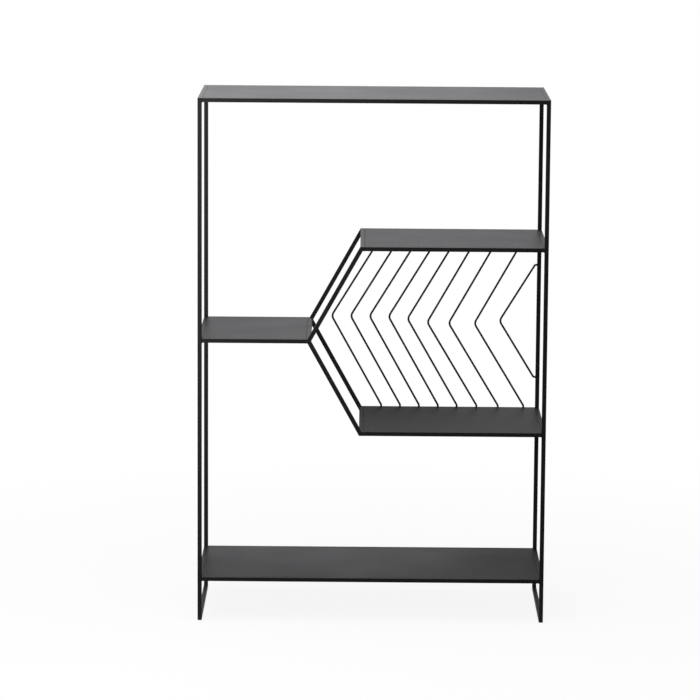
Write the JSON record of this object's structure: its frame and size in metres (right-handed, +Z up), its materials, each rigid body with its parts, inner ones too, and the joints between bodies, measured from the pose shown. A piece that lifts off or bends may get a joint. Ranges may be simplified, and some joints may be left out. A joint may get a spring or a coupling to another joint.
{
  "type": "zigzag bookshelf",
  "caption": "Tall open bookshelf of black coated square bar with staggered sheet shelves, a slanted zigzag divider and a rear grille of chevron-bent wires, standing on sled feet.",
  "frame": {"origin": "on the floor, in the middle of the footprint", "axes": "+X to the right and +Y to the rear as seen from the front, +Z up"},
  "size_m": [0.83, 0.35, 1.257],
  "materials": {
    "bar_coating": "satin black powder coat on square steel bar",
    "panel_coating": "satin black powder coat on folded steel sheet",
    "wire_coating": "satin black powder coat on round steel wire"
  },
  "bodies": {
    "root": {"bottom_shelf_front_rail": "bar_coating", "bottom_shelf_panel": "panel_coating", "bottom_shelf_rear_rail": "bar_coating", "chevron_end_wire": "wire_coating", "chevron_wire_1": "wire_coating", "chevron_wire_2": "wire_coating", "chevron_wire_3": "wire_coating", "chevron_wire_4": "wire_coating", "chevron_wire_5": "wire_coating", "chevron_wire_6": "wire_coating", "chevron_wire_7": "wire_coating", "chevron_wire_8": "wire_coating", "front_lower_strut": "bar_coating", "front_upper_strut": "bar_coating", "left_bottom_crossbar": "bar_coating", "left_floor_runner": "bar_coating", "left_front_post": "bar_coating", "left_middle_crossbar": "bar_coating", "left_rear_post": "bar_coating", "left_shelf_front_rail": "bar_coating", "left_shelf_panel": "panel_coating", "left_shelf_rear_rail": "bar_coating", "left_top_crossbar": "bar_coating", "lower_corner_crossbar": "bar_coating", "lower_right_shelf_front_rail": "bar_coating", "lower_right_shelf_panel": "panel_coating", "lower_right_shelf_rear_rail": "bar_coating", "rear_lower_strut": "bar_coating", "rear_upper_strut": "bar_coating", "right_bottom_crossbar": "bar_coating", "right_floor_runner": "bar_coating", "right_front_post": "bar_coating", "right_lower_crossbar": "bar_coating", "right_rear_post": "bar_coating", "right_top_crossbar": "bar_coating", "right_upper_crossbar": "bar_coating", "top_shelf_front_rail": "bar_coating", "top_shelf_panel": "panel_coating", "top_shelf_rear_rail": "bar_coating", "upper_corner_crossbar": "bar_coating", "upper_right_shelf_front_rail": "bar_coating", "upper_right_shelf_panel": "panel_coating", "upper_right_shelf_rear_rail": "bar_coating", "zigzag_tip_crossbar": "bar_coating"}
  },
  "joints": []
}
